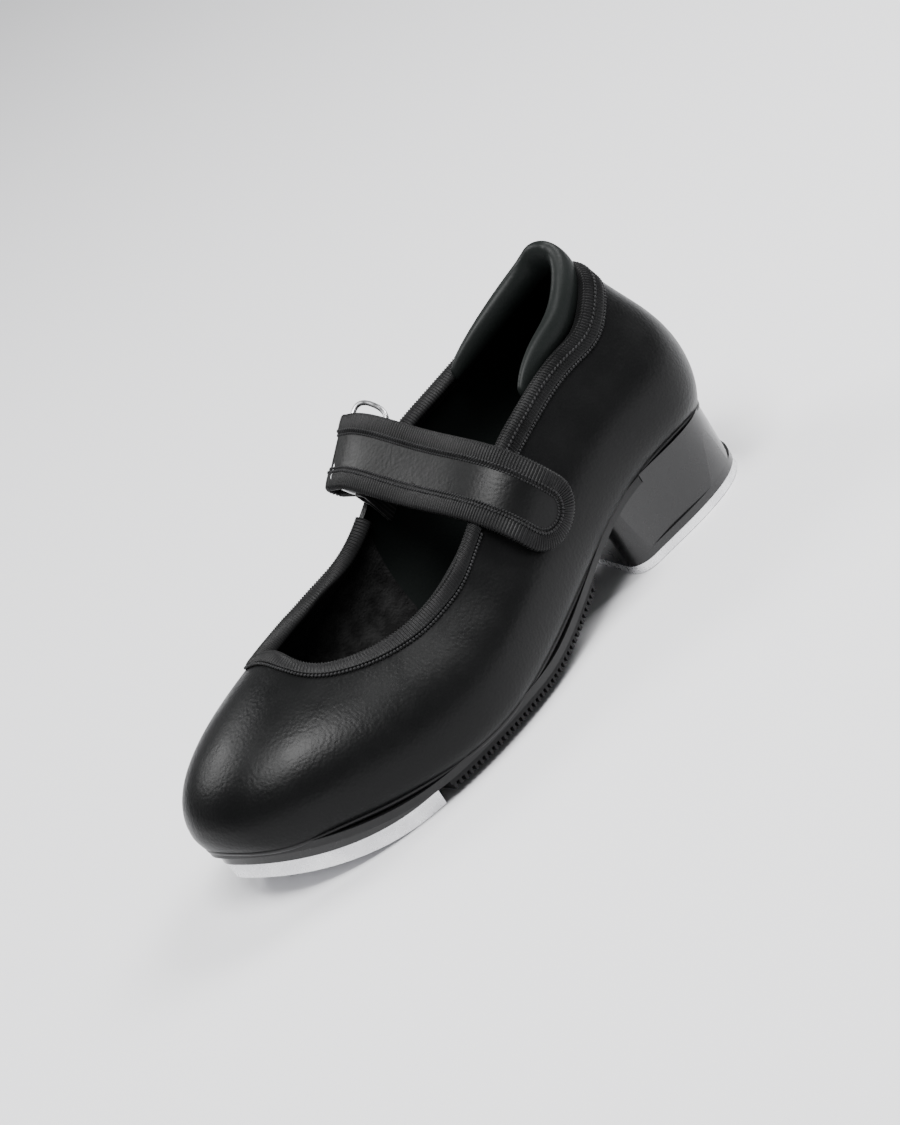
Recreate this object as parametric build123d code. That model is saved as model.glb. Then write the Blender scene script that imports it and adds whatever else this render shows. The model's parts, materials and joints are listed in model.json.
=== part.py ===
from build123d import *
import math
import os

import numpy as np

# A child's left tap shoe, in millimetres. +X runs from toe to heel, -Y is the outer side of the
# foot, +Z is up. The shoe stands on its toe tap and heel tap, and the origin is the middle of its
# footprint on the floor.

# ---------------------------------------------------------------- driving dimensions
ORIGIN_X = -0.5               # middle of the overall length, in the last's own coordinates
ORIGIN_Y = -1.6                # middle of the overall width
UPPER = 1.2                   # upper material
STIFFENER = 0.8               # toe puff and heel counter
LINING = 0.8                  # vamp and quarter linings
GAP = 0.05                    # glue line between layers
WALL = UPPER + STIFFENER + LINING + 2 * GAP

BALL_HEIGHT = 7.2             # feather edge above the floor at the ball
HEEL_HEIGHT = 22.2            # feather edge above the floor at the heel seat
TOE_SPRING_START = -46.0      # where the sole begins to lift toward the toe
TOE_SPRING = 0.0046           # lift of the feather edge, per mm squared ahead of that point
TAP_SPRING_START = -58.0      # the toe tap is flat behind this point
TAP_SPRING = 0.0064           # lift of the toe tap's underside, per mm squared ahead of it
MIDSOLE = 2.3
TAP_THICKNESS = 4.5
TAP_REAR_X = -52.5
RUBBER_FRONT_X = -49.5
RUBBER_REAR_X = 24.0
RUBBER = 3.0
TOOTH_PITCH = 1.9
SEAM_INSET = 0.4              # how far the sole parts sit inside the feather edge

HEEL_FRONT_X = 43.6
HEEL_BACK_X = 93.0
HEEL_TAP = 2.4
TOP_LIFT = 2.2
HEEL_SKEW = 5.0               # the heel breast runs slightly across the shoe

BINDING = 0.8                 # binding tape over the topline
THROAT_BINDING_DEPTH = 5.0
COLLAR_BINDING_DEPTH = 6.5
STRAP_WIDTH = 20.5
STRAP_PANEL = 1.2
STRAP_BINDING = 0.45
STRAP_BINDING_WIDTH = 5.6
STRAP_TILT = math.radians(30)  # the strap leans with the instep
RING_WIRE = 0.6              # wire radius
RING_LENGTH = 30.0            # overall
RING_SHIFT = 1.6              # how far the ring sits rearward of the strap's middle
RING_END = 2.4                # depth of each round end

# Fourteen stations round the last, from the toe along the outer side to the heel and back along
# the inner side: foot is on the feather edge, top is on the topline, bulge is how far the wall
# leans out as it leaves the feather edge, and crown is how far out and down it leaves the topline.
STATIONS = [
    dict(foot=(-96, 3), top=(-51.4, 2.5, 47.0), bulge=7.0, crown=(15.5, 2.0)),
    dict(foot=(-86, -19), top=(-50.5, -12.5, 42.5), bulge=7.2, crown=(13.0, 3.0)),
    dict(foot=(-48, -36), top=(-30.0, -23.5, 38.5), bulge=6.5, crown=(7.8, 8.4)),
    dict(foot=(-12, -35), top=(-4.0, -25.0, 43.5), bulge=6.2, crown=(4.8, 13.0)),
    dict(foot=(22, -27.5), top=(16.0, -21.8, 52.0), bulge=6.8, crown=(3.8, 15.0)),
    dict(foot=(55, -23.6), top=(39.0, -19.0, 58.5), bulge=8.2, crown=(3.9, 16.0)),
    dict(foot=(82, -20.5), top=(75.0, -14.5, 68.5), bulge=9.8, crown=(4.5, 16.0)),
    dict(foot=(92, 0), top=(82.0, 0, 73.0), bulge=10.8, crown=(6.2, 16.0)),
    dict(foot=(82, 17.5), top=(74.5, 13.5, 69.5), bulge=9.8, crown=(4.8, 16.0)),
    dict(foot=(55, 21), top=(42.0, 20.8, 63.0), bulge=8.1, crown=(3.8, 16.0)),
    dict(foot=(20, 20.5), top=(16.9, 23.2, 58.0), bulge=6.5, crown=(3.2, 15.0)),
    dict(foot=(-15, 26), top=(-3.5, 25.0, 46.0), bulge=6.0, crown=(3.9, 13.0)),
    dict(foot=(-52, 33.5), top=(-30.0, 25.5, 41.8), bulge=6.2, crown=(7.2, 8.9)),
    dict(foot=(-87, 19.5), top=(-49.5, 16.5, 44.0), bulge=6.9, crown=(11.6, 6.0)),
]
WALL_RISE = 19.5              # height over which the wall leaves the feather edge

# Places along that ring of stations
HEEL = 7.0


# ---------------------------------------------------------------- curves and closed skins
def spline_tangents(points, closed):
    """Tangents of the smooth cubic spline through evenly counted points."""
    p = np.array(points, float)
    n = len(p)
    matrix = np.zeros((n, n))
    rhs = np.zeros_like(p)
    for i in range(n):
        if closed or 0 < i < n - 1:
            matrix[i, (i - 1) % n] += 1
            matrix[i, i] += 4
            matrix[i, (i + 1) % n] += 1
            rhs[i] = 3 * (p[(i + 1) % n] - p[(i - 1) % n])
    if not closed:
        matrix[0, 0], matrix[0, 1], rhs[0] = 2, 1, 3 * (p[1] - p[0])
        matrix[-1, -1], matrix[-1, -2], rhs[-1] = 2, 1, 3 * (p[-1] - p[-2])
    return np.linalg.solve(matrix, rhs)


def spline_spans(points, closed):
    """The four Bezier points of each span of that spline."""
    p = np.array(points, float)
    m = spline_tangents(p, closed)
    last = len(p) if closed else len(p) - 1
    spans = []
    for i in range(last):
        j = (i + 1) % len(p)
        spans.append([p[i], p[i] + m[i] / 3, p[j] - m[j] / 3, p[j]])
    return spans


def closed_skin(rings, closed):
    """A solid whose cross-sections are closed chains of Bezier curves.

    rings[k] holds one section: a list of chains, each a list of 2 or 4 control points that ends
    where the next one starts.
    """
    faces = []
    for chain in range(len(rings[0])):
        count = len(rings[0][chain])
        rails = [spline_spans([ring[chain][k] for ring in rings], closed) for k in range(count)]
        for span in range(len(rails[0])):
            grid = [[Vector(*rails[k][span][c]) for k in range(count)] for c in range(4)]
            faces.append(Face.make_bezier_surface(grid))
    if not closed:
        for ring in (rings[0], rings[-1]):
            faces += end_cap(ring)
    solid = Solid(Shell(faces))
    return solid if solid.volume > 0 else Solid(solid.wrapped.Reversed())


def end_cap(ring):
    """The faces that close one end of a skin; a straight-sided section closes as a ladder of quads."""
    if len(ring[0]) == 4:
        near, far = ring[0], ring[2][::-1]
        return [Face.make_bezier_surface([[Vector(*a), Vector(*b)] for a, b in zip(near, far)])]
    corner = [Vector(*chain[0]) for chain in ring]
    faces = []
    for k in range(len(corner) // 2 - 1):
        a, b, c, d = corner[k], corner[k + 1], corner[-2 - k], corner[-1 - k]
        faces.append(Face.make_bezier_surface([[a, b], [d, c]]))
    return faces


def polygon_ring(corners):
    """One section made of straight sides."""
    return [[a, b] for a, b in zip(corners, corners[1:] + corners[:1])]


# ---------------------------------------------------------------- the last: wall of the upper
def feather_height(x):
    ahead = max(0.0, TOE_SPRING_START - x)
    arch = smooth_step((x + 10) / 66)
    return BALL_HEIGHT + TOE_SPRING * ahead**2 + (HEEL_HEIGHT - BALL_HEIGHT) * arch


def smooth_step(t):
    t = min(1.0, max(0.0, t))
    return t * t * (3 - 2 * t)


def plan_outward():
    """Outward direction in plan at each station, square to the feather edge."""
    feet = [(*s["foot"], 0) for s in STATIONS]
    along = spline_tangents(feet, True)
    out = np.cross(along, [0, 0, 1])
    return out / np.linalg.norm(out, axis=1)[:, None]


def last_rails():
    """Four rails round the shoe: feather edge, two handles, topline."""
    rails = [[], [], [], []]
    for station, out in zip(STATIONS, plan_outward()):
        foot = np.array([*station["foot"], feather_height(station["foot"][0])], float)
        top = np.array(station["top"], float)
        away, drop = station["crown"]
        rails[0].append(foot)
        rails[1].append(foot + station["bulge"] * out + [0, 0, WALL_RISE])
        rails[2].append(top + away * out - [0, 0, drop])
        rails[3].append(top)
    return [spline_spans(rail, True) for rail in rails]


RAILS = last_rails()


def bezier(points, t):
    a, b, c, d = points
    s = 1 - t
    return s**3 * a + 3 * s * s * t * b + 3 * s * t * t * c + t**3 * d


def wall_point(u, v):
    """A point of the outside of the upper: u counts stations, v runs from feather to topline."""
    u = u % len(STATIONS)
    span = min(int(u), len(STATIONS) - 1)
    return bezier([bezier(rail[span], u - span) for rail in RAILS], v)


def wall_normal(u, v):
    """Outward normal of the upper there."""
    step = 0.01
    low = max(0.0, v - step)
    high = min(1.0, v + step)
    along = wall_point(u + step, v) - wall_point(u - step, v)
    up = wall_point(u, high) - wall_point(u, low)
    normal = np.cross(along, up)
    return normal / np.linalg.norm(normal)


def column(u, v0, v1, depth):
    """Bezier points of one upright line in the wall, at a depth below its outside."""
    samples = []
    for k in range(4):
        v = v0 + (v1 - v0) * k / 3
        samples.append(wall_point(u, v) - depth * wall_normal(u, v))
    a, b, c, d = samples
    return [a, (-5 * a + 18 * b - 9 * c + 2 * d) / 6, (2 * a - 9 * b + 18 * c - 5 * d) / 6, d]


def wall_layer(u0, u1, edges, near, far, count, closed=False):
    """A sheet in the wall, between two depths, from station u0 to u1.

    edges(u) gives the lower and upper ends of the sheet as fractions of the wall's height.
    """
    rings = []
    for k in range(count):
        u = u0 + (u1 - u0) * k / (count if closed else count - 1)
        low, high = edges(u)
        outside = column(u, low, high, near)
        inside = column(u, low, high, far)[::-1]
        rings.append([outside, [outside[3], inside[0]], inside, [inside[3], outside[0]]])
    return closed_skin(rings, closed)


# ---------------------------------------------------------------- upper and its layers
def upper():
    return wall_layer(0, len(STATIONS), lambda u: (0, 1), 0, UPPER, 28, closed=True)


def toe_puff():
    def edges(u):
        side = abs(u) / 1.7
        return 0.02, 0.02 + 0.62 * math.sqrt(max(0.0, 1 - side * side)) + 0.05
    depth = UPPER + GAP
    return wall_layer(-1.6, 1.6, edges, depth, depth + STIFFENER - 0.25, 17)


def heel_counter():
    def edges(u):
        side = abs(u - HEEL) / 2.0
        return 0.02, 0.1 + 0.66 * math.sqrt(max(0.0, 1 - side * side))
    depth = UPPER + GAP
    return wall_layer(HEEL - 1.9, HEEL + 1.9, edges, depth, depth + STIFFENER - 0.15, 21)


def vamp_lining():
    depth = WALL - LINING
    return wall_layer(-3.45, 3.45, lambda u: (0.01, 0.99), depth, WALL, 25)


def quarter_lining():
    depth = WALL - LINING
    return wall_layer(3.5, 10.5, lambda u: (0.01, 0.99), depth, WALL, 25)


# ---------------------------------------------------------------- topline trim
def below_topline(u, distance):
    """The wall's height fraction at a distance down from the topline."""
    v = 1.0
    steps = 6
    for _ in range(steps):
        speed = np.linalg.norm(wall_point(u, v) - wall_point(u, v - 0.02)) / 0.02
        v -= distance / steps / speed
    return v


def topline_section(u, corners):
    """A section given as (out, down) pairs that follow the wall; negative down is above it."""
    top = wall_point(u, 1)
    rise = top - wall_point(u, 0.96)
    rise = rise / np.linalg.norm(rise)
    points = []
    for out, down in corners:
        if down > 0:
            v = below_topline(u, down)
            points.append(wall_point(u, v) + out * wall_normal(u, v))
        else:
            points.append(top + out * wall_normal(u, 1) - down * rise)
    return points


def topline_binding(u0, u1, depth, count):
    inner_depth = 0.6 * depth
    ease = 0.15
    corners = [
        (BINDING, depth), (BINDING, -BINDING), (-WALL - BINDING, -BINDING), (-WALL - BINDING, inner_depth),
        (-WALL - ease, inner_depth), (-WALL - ease, -ease), (ease, -ease), (ease, depth),
    ]
    rings = []
    for k in range(count):
        u = u0 + (u1 - u0) * k / (count - 1)
        rings.append(polygon_ring(topline_section(u, corners)))
    return closed_skin(rings, False)


def collar_pad():
    """A soft roll inside the heel collar, standing above the binding and tapering forward."""
    start, end = 5.1, 9.4
    count = 21
    rings = []
    for k in range(count):
        u = start + (end - start) * k / (count - 1)
        swell = math.sin(math.pi * k / (count - 1)) ** 0.6
        half_thick = 1.2 + 1.1 * swell
        half_tall = 2.0 + 3.8 * swell
        rise = 0.5 + 1.2 * swell
        corners = []
        for side in range(12):
            angle = math.tau * side / 12
            out = -WALL - BINDING - 0.1 - half_thick + half_thick * math.cos(angle)
            down = -rise + half_tall * math.sin(angle)
            corners.append((out, down))
        rings.append(polygon_ring(topline_section(u, corners)))
    return closed_skin(rings, False)


# ---------------------------------------------------------------- sole parts
def sole_outline(inset):
    """Plan outline of the feather edge, moved inwards."""
    points = []
    for station, out in zip(STATIONS, plan_outward()):
        points.append(Vector(*station["foot"]) - Vector(*out) * inset)
    return Face(Wire(Edge.make_spline(points, periodic=True)))


def profile_curve(height, x0, x1):
    """Points of a side-view curve, close enough together for its bends."""
    count = 24
    return [(x0 + (x1 - x0) * k / count, height(x0 + (x1 - x0) * k / count)) for k in range(count + 1)]


def curved_slab(outline, top, bottom, x0, x1):
    """The plan outline cut to lie between two side-view curves."""
    upper_edge = Edge.make_spline([Vector(x, 0, z) for x, z in profile_curve(top, x0, x1)])
    lower_edge = Edge.make_spline([Vector(x, 0, z) for x, z in profile_curve(bottom, x0, x1)])
    sides = [Edge.make_line(upper_edge @ 0, lower_edge @ 0), Edge.make_line(upper_edge @ 1, lower_edge @ 1)]
    profile = Face(Wire([upper_edge, lower_edge, *sides]))
    band = Pos(0, 60, 0) * extrude(profile, amount=120, dir=(0, -1, 0))
    return band & extrude(outline, amount=60)


def tap_underside(x):
    ahead = max(0.0, TAP_SPRING_START - x)
    return TAP_SPRING * ahead**2


def tap_top(x):
    return tap_underside(x) + TAP_THICKNESS


def midsole_top(x):
    return feather_height(x) - 0.2


def midsole_bottom(x):
    return feather_height(x) - MIDSOLE


def insole_board():
    def top(x):
        return feather_height(x) + 2.0
    board = curved_slab(sole_outline(WALL + 0.3), top, feather_height, -96, 92)
    for bore in bores(SEAT_NAILS, 0.75, 10, 20):
        board -= bore
    return board


def insole_foam():
    def bottom(x):
        return feather_height(x) + 2.05
    def top(x):
        return feather_height(x) + 4.0
    return curved_slab(sole_outline(WALL + 0.3), top, bottom, -96, 92)


def sock():
    def bottom(x):
        return feather_height(x) + 4.05
    def top(x):
        return feather_height(x) + 5.0
    return curved_slab(sole_outline(WALL), top, bottom, -96, 92)


def shank_steel():
    """A spring-steel strip under the waist, let into the filler."""
    outline = Pos(32, -1, 0) * Rectangle(56, 11)
    return curved_slab(outline, lambda x: feather_height(x) - 0.05, lambda x: feather_height(x) - 1.05, 2, 62)


def midsole():
    def cavity(x):
        return feather_height(x) - 1.15
    plan = sole_outline(SEAM_INSET) & (Pos(-26.5, 0, 0) * Rectangle(160, 100))
    slab = curved_slab(plan, midsole_top, midsole_bottom, -99, 54)
    slot = curved_slab(Pos(33, -1, 0) * Rectangle(60, 11.4), lambda x: midsole_top(x) + 1, cavity, 1, 55)
    slab -= slot
    for bore in bores(TOE_SCREWS, 1.15, 0, 12):
        slab -= bore
    return slab


def toe_tap_outline(grow):
    """Rounded toe with nearly straight sides and a straight rear edge."""
    rear = TAP_REAR_X + grow
    outline = sole_outline(SEAM_INSET + 2.2 - grow)
    return outline & (Pos(rear - 50, 0, 0) * Rectangle(100, 100))


def tap_spacer():
    spacer = curved_slab(toe_tap_outline(0.6), lambda x: midsole_bottom(x) - 0.02, tap_top, -99, -30)
    for bore in bores(TOE_SCREWS, 1.15, 0, 20):
        spacer -= bore
    return spacer


def bores(places, radius, low, length):
    """Upright holes, all starting at the same height."""
    hole = Cylinder(radius, length, align=(Align.CENTER, Align.CENTER, Align.MIN))
    return [Pos(x, y, low) * hole for x, y in places]


def screw(x, y, seat, length):
    """A countersunk screw, driven upwards, with its slotted head flush in the tap."""
    head = Cone(2.6, 1.1, 1.5, align=(Align.CENTER, Align.CENTER, Align.MIN))
    shank = Cylinder(1.1, length, align=(Align.CENTER, Align.CENTER, Align.MIN))
    slot = Box(6, 0.7, 0.8)
    return Pos(x, y, seat) * (head + shank - slot)


TOE_SCREWS = [(-80, 1), (-61, -18), (-61, 18)]
HEEL_SCREWS = [(52, -13), (52, 13), (82, 0)]
SEAT_NAILS = [(60, -9), (60, 9), (72, -9), (72, 9), (78, 0)]


def toe_tap():
    plate = curved_slab(toe_tap_outline(0), lambda x: tap_top(x) - 0.02, tap_underside, -99, -30)
    for bore in bores(TOE_SCREWS, 2.65, -1, 20):
        plate -= bore
    return plate


def toe_tap_screws():
    return [screw(x, y, tap_underside(x) + 0.6, TAP_THICKNESS + 1.6) for x, y in TOE_SCREWS]


def forepart_rubber():
    """Ribbed rubber from behind the toe tap to the waist, with teeth across the shoe."""
    def body_bottom(x):
        return midsole_bottom(x) - 0.5 * RUBBER
    def tooth_bottom(x):
        return max(0.3, midsole_bottom(x) - RUBBER)
    length = RUBBER_REAR_X - RUBBER_FRONT_X
    middle = (RUBBER_REAR_X + RUBBER_FRONT_X) / 2
    plan = sole_outline(SEAM_INSET + 0.8) & (Pos(middle, 0, 0) * Rectangle(length, 100))
    pad = curved_slab(plan, lambda x: midsole_bottom(x) - 0.02, body_bottom, -51, 26)
    bars = []
    count = int(length / TOOTH_PITCH)
    for k in range(count):
        x = RUBBER_FRONT_X + (k + 0.25) * TOOTH_PITCH
        bars.append(Pos(x + TOOTH_PITCH / 4, 0, 0) * Rectangle(TOOTH_PITCH / 2, 100))
    for bar in bars:
        pad += curved_slab(plan & bar, lambda x: body_bottom(x) + 0.3, tooth_bottom, -51, 26)
    return pad


# ---------------------------------------------------------------- heel
def heel_outline(grow):
    """A D shape: a straight breast with rounded corners and a round back."""
    front = HEEL_FRONT_X - grow
    back = HEEL_BACK_X + grow
    middle = front + 0.42 * (back - front)

    def side(width):
        """Points from the breast corner round to the middle of the back."""
        skew = HEEL_SKEW if width > 0 else -HEEL_SKEW
        points = [Vector(front + skew, 0.97 * width)]
        for degrees in (0, 25, 48, 70, 90):
            angle = math.radians(degrees)
            reach = abs(math.sin(angle)) ** 0.91
            spread = abs(math.cos(angle)) ** 0.91
            points.append(Vector(middle + (back - middle) * reach, width * spread))
        return points

    outer = side(-23.9 - grow)
    inner = side(23.0 + grow)
    outer_side = Edge.make_spline(outer, tangents=[(1, 0), (0, 1)])
    inner_side = Edge.make_spline(inner, tangents=[(1, 0), (0, -1)])
    breast = Edge.make_line(outer[0], inner[0])
    face = Face(Wire([breast, outer_side, inner_side]))
    front_corners = face.vertices().sort_by(Axis.X)[:2]
    return face.fillet_2d(5.0, front_corners)


def heel_tap():
    plate = extrude(heel_outline(0), amount=HEEL_TAP, dir=(0, 0, 1))
    for bore in bores(HEEL_SCREWS, 2.65, -1, 12):
        plate -= bore
    return plate


def heel_tap_screws():
    return [screw(x, y, 0.5, HEEL_TAP + 7) for x, y in HEEL_SCREWS]


def heel_top_lift():
    lift = Pos(0, 0, HEEL_TAP + 0.02) * extrude(heel_outline(0.1), amount=TOP_LIFT, dir=(0, 0, 1))
    for bore in bores(HEEL_SCREWS, 1.15, 0, 12):
        lift -= bore
    return lift


def heel_block():
    """Lofted from the heel seat down to the top lift."""
    base = HEEL_TAP + TOP_LIFT + 0.04
    low = Pos(0, 0, base) * heel_outline(0.1)
    high = Pos(-1.5, 0, 30) * heel_outline(1.2)
    block = loft([low, high])
    plan = extrude(sole_outline(SEAM_INSET), amount=60)
    below_seat = extrude(Pos(66, 0, 0) * Rectangle(100, 100), amount=feather_height(80) - 0.05)
    arch = curved_slab(Pos(20, 0, 0) * Rectangle(76, 100), lambda x: 60, midsole_bottom, -18, 53.8)
    block = block & plan & below_seat
    block = block - arch
    block -= Pos(50, -1, feather_height(60) - 1.2) * Box(26, 11.4, 5, align=(Align.CENTER, Align.CENTER, Align.MIN))
    for bore in bores(HEEL_SCREWS, 1.15, 0, 10.5) + bores(SEAT_NAILS, 0.75, 10.5, 20):
        block -= bore
    return block


# ---------------------------------------------------------------- strap, ring and tab
ACROSS = np.array([math.cos(STRAP_TILT), 0, math.sin(STRAP_TILT)])   # across the strap, rearward
FOLD = np.array([10.0, 30.0, 63.6])       # middle of the strap's turn
FREE_BAR = np.array([10.0, 28.3, 63.55])  # the ring bar inside that turn
TAB_BAR = np.array([10.0, 17.9, 58.8])    # the ring bar in the tab

# Middle of the strap's top layer, from the fold to the tip, and how far its width leans away
# from the instep's tilt as it comes to lie on the outer side of the shoe.
STRAP_ROUTE = [
    ((10, 30.0, 65.7), 0.0),
    ((10, 16.0, 64.3), 0.0),
    ((9.6, 0.0, 60.2), 0.0),
    ((9.8, -14.0, 56.3), 0.1),
    ((11.0, -26.0, 52.6), 0.35),
    ((14.5, -33.0, 43.5), 0.75),
    ((22.5, -37.2, 33.2), 1.0),
]
SIDE_ACROSS = np.array([0.93, -0.02, 0.36])   # across the strap where it lies on the side


def route_spans():
    return spline_spans([point for point, lean in STRAP_ROUTE], False)


def strap_frame(s, drop=0.0):
    """Point, across and outward directions at s, which counts route points from the fold."""
    spans = route_spans()
    span = min(int(s), len(spans) - 1)
    t = s - span
    point = bezier(spans[span], t)
    along = bezier(spans[span], t + 0.01) - bezier(spans[span], t - 0.01)
    along = along / np.linalg.norm(along)
    lean = np.interp(s, range(len(STRAP_ROUTE)), [lean for point, lean in STRAP_ROUTE])
    across = (1 - lean) * ACROSS + lean * SIDE_ACROSS
    across = across - along * np.dot(across, along)
    across = across / np.linalg.norm(across)
    out = np.cross(across, along)
    out = out if out[2] > 0 or out[1] < 0 else -out
    return point - drop * out, across, out


def strap_length_left(s):
    """Distance along the strap from s to the tip."""
    steps = 24
    end = len(STRAP_ROUTE) - 1
    points = [strap_frame(s + (end - s) * k / steps)[0] for k in range(steps + 1)]
    return sum(np.linalg.norm(b - a) for a, b in zip(points, points[1:]))


def strap_half_width(s):
    """Half the strap's width, rounded off at the tip."""
    radius = STRAP_WIDTH / 2
    left = strap_length_left(s)
    if left >= radius:
        return radius - 0.1
    return max(1.2, math.sqrt(radius**2 - (radius - left) ** 2) - 0.1)


def band(stations, half_width, above, below, drop=0.0):
    """A flat strip along the strap's route."""
    rings = []
    for s in stations:
        point, across, out = strap_frame(s, drop)
        half = half_width(s)
        corners = [(half, above), (-half, above), (-half, -below), (half, -below)]
        rings.append(polygon_ring([point + a * across + b * out for a, b in corners]))
    return closed_skin(rings, False)


def strap_stations(first, count):
    """Stations along the top layer, closer together round the tip."""
    end = len(STRAP_ROUTE) - 1
    straight = [first + (end - 1 - first) * k / count for k in range(count)]
    tip = [end - 1 + math.sin(math.pi / 2 * k / 8) for k in range(9)]
    return straight + tip


def fold_point(angle):
    """Middle of the strap where it turns; 0 is on top, pi underneath."""
    radius = STRAP_ROUTE[0][0][2] - FOLD[2]
    return FOLD + radius * np.array([0, math.sin(angle), math.cos(angle)])


def strap_fold():
    """The turn round the free bar, with a short return underneath."""
    half = STRAP_WIDTH / 2
    thick = STRAP_PANEL / 2 + STRAP_BINDING
    rings = []
    places = [(fold_point(math.pi * k / 8), math.pi * k / 8) for k in range(9)]
    under = places[-1][0]
    places += [(under - [0, 1.5, 0.1], math.pi), (under - [0, 3.5, 0.3], math.pi)]
    for point, angle in places:
        out = np.array([0, math.sin(angle), math.cos(angle)])
        corners = [(half, thick), (-half, thick), (-half, -thick), (half, -thick)]
        rings.append(polygon_ring([point + a * ACROSS + b * out for a, b in corners]))
    return closed_skin(rings, False)


def strap_panel():
    half = STRAP_PANEL / 2
    return band(strap_stations(0.06, 12), strap_half_width, half, half)


def binding_corners():
    """U section of the strap binding, as (outward in the strap, across its thickness)."""
    inner = -STRAP_BINDING_WIDTH
    low = STRAP_PANEL / 2 + 0.08
    high = low + STRAP_BINDING
    return [
        (inner, high), (0.5, high), (0.5, -high), (inner, -high),
        (inner, -low), (0.03, -low), (0.03, low), (inner, low),
    ]


def station_before_tip(distance):
    """The route station at a distance before the tip."""
    low, high = 3.0, len(STRAP_ROUTE) - 1
    for _ in range(20):
        middle = (low + high) / 2
        if strap_length_left(middle) > distance:
            low = middle
        else:
            high = middle
    return low


def strap_edge_path():
    """Places round the strap's edge, as station and turn: rear edge, round the tip, front edge."""
    radius = STRAP_WIDTH / 2
    start = 0.06
    centre = station_before_tip(radius)
    straight = [start + (centre - start) * k / 14 for k in range(14)]
    turns = [math.pi * k / 12 for k in range(13)]
    path = [(s, 0.0) for s in straight]
    path += [(station_before_tip(radius * (1 - math.sin(turn))), turn) for turn in turns]
    path += [(s, math.pi) for s in reversed(straight)]
    return path


def strap_binding():
    """Tape folded over the strap's edge."""
    radius = STRAP_WIDTH / 2
    rings = []
    for s, turn in strap_edge_path():
        point, across, out = strap_frame(s)
        along = np.cross(out, across)
        along = along if along[1] < 0 else -along
        outward = math.cos(turn) * across + math.sin(turn) * along
        edge = point + radius * math.cos(turn) * across
        rings.append(polygon_ring([edge + a * outward + b * out for a, b in binding_corners()]))
    return closed_skin(rings, False)


def hook_patch():
    """Hook tape under the strap's outer end."""
    stations = [2.2 + 1.2 * k / 8 for k in range(9)]
    drop = STRAP_PANEL / 2 + 0.35
    return band(stations, lambda s: STRAP_WIDTH / 2 - STRAP_BINDING_WIDTH - 0.3, 0.3, 0.3, drop)


BASE_DROP = 2.6               # from the top layer's middle down to the strap base's middle


def strap_base():
    """The lower layer, from the outer topline across the instep toward the ring."""
    stations = [0.75 + 2.6 * k / 14 for k in range(15)]
    return band(stations, lambda s: STRAP_WIDTH / 2 - 0.8, 0.6, 0.6, BASE_DROP)


def loop_patch():
    """Loop tape on top of the strap base."""
    stations = [2.1 + 1.2 * k / 8 for k in range(9)]
    drop = BASE_DROP - 0.6 - 0.3
    return band(stations, lambda s: STRAP_WIDTH / 2 - STRAP_BINDING_WIDTH - 0.3, 0.25, 0.25, drop)


def ring_place(along, cross):
    """A point of the ring's plane, from its middle."""
    middle = (FREE_BAR + TAB_BAR) / 2
    over = (FREE_BAR - TAB_BAR) / np.linalg.norm(FREE_BAR - TAB_BAR)
    return Vector(*(middle + (along + RING_SHIFT) * ACROSS + cross * over))


def strap_ring():
    """Oval wire ring: two straight bars and two round ends."""
    radius = np.linalg.norm(FREE_BAR - TAB_BAR) / 2
    straight = RING_LENGTH / 2 - RING_WIRE - RING_END
    rearward = Vector(*ACROSS)
    top = Edge.make_line(ring_place(-straight, radius), ring_place(straight, radius))
    rear = Edge.make_spline(
        [ring_place(straight, radius), ring_place(straight + RING_END, 0), ring_place(straight, -radius)],
        tangents=[rearward, -rearward])
    bottom = Edge.make_line(ring_place(straight, -radius), ring_place(-straight, -radius))
    front = Edge.make_spline(
        [ring_place(-straight, -radius), ring_place(-straight - RING_END, 0), ring_place(-straight, radius)],
        tangents=[-rearward, rearward])
    path = Wire([top, rear, bottom, front])
    profile = Plane(origin=ring_place(-straight, radius), z_dir=Vector(*ACROSS)) * Circle(RING_WIRE)
    return sweep(profile, path)


def ring_tab():
    """A loop of tape round the tab bar, sewn to the inside of the inner topline."""
    thick = 1.0
    inner = RING_WIRE + 0.12
    outer = inner + thick
    plane = Plane(origin=Vector(*TAB_BAR), x_dir=(0, 1, 0), z_dir=Vector(*ACROSS))
    loop = Circle(outer) - Circle(inner)
    leg = Pos(0.8, -0.5 * (inner + outer) - 4.5) * Rectangle(thick, 9)
    return extrude(plane * (loop + leg), amount=7.5, both=True)


# ---------------------------------------------------------------- fasteners inside the heel
def heel_nails():
    """Seat nails from the insole board into the heel block."""
    return bores(SEAT_NAILS, 0.7, HEEL_HEIGHT - 11, 12.8)


PARTS = {
    "upper": upper, "toe_puff": toe_puff, "heel_counter": heel_counter, "vamp_lining": vamp_lining,
    "quarter_lining": quarter_lining, "collar_pad": collar_pad, "insole_board": insole_board,
    "insole_foam": insole_foam, "sock": sock, "shank": shank_steel, "midsole": midsole,
    "tap_spacer": tap_spacer, "toe_tap": toe_tap, "toe_tap_screws": toe_tap_screws,
    "forepart_rubber": forepart_rubber, "heel_block": heel_block, "heel_top_lift": heel_top_lift,
    "heel_tap": heel_tap, "heel_tap_screws": heel_tap_screws, "heel_nails": heel_nails,
    "strap_base": strap_base, "loop_patch": loop_patch, "ring_tab": ring_tab,
    "strap_ring": strap_ring, "strap_fold": strap_fold, "strap_panel": strap_panel,
    "strap_binding": strap_binding, "hook_patch": hook_patch,
    "throat_binding": lambda: topline_binding(-3.25, 3.3, THROAT_BINDING_DEPTH, 29),
    "collar_binding": lambda: topline_binding(3.35, 9.85, COLLAR_BINDING_DEPTH, 31),
}


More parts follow.
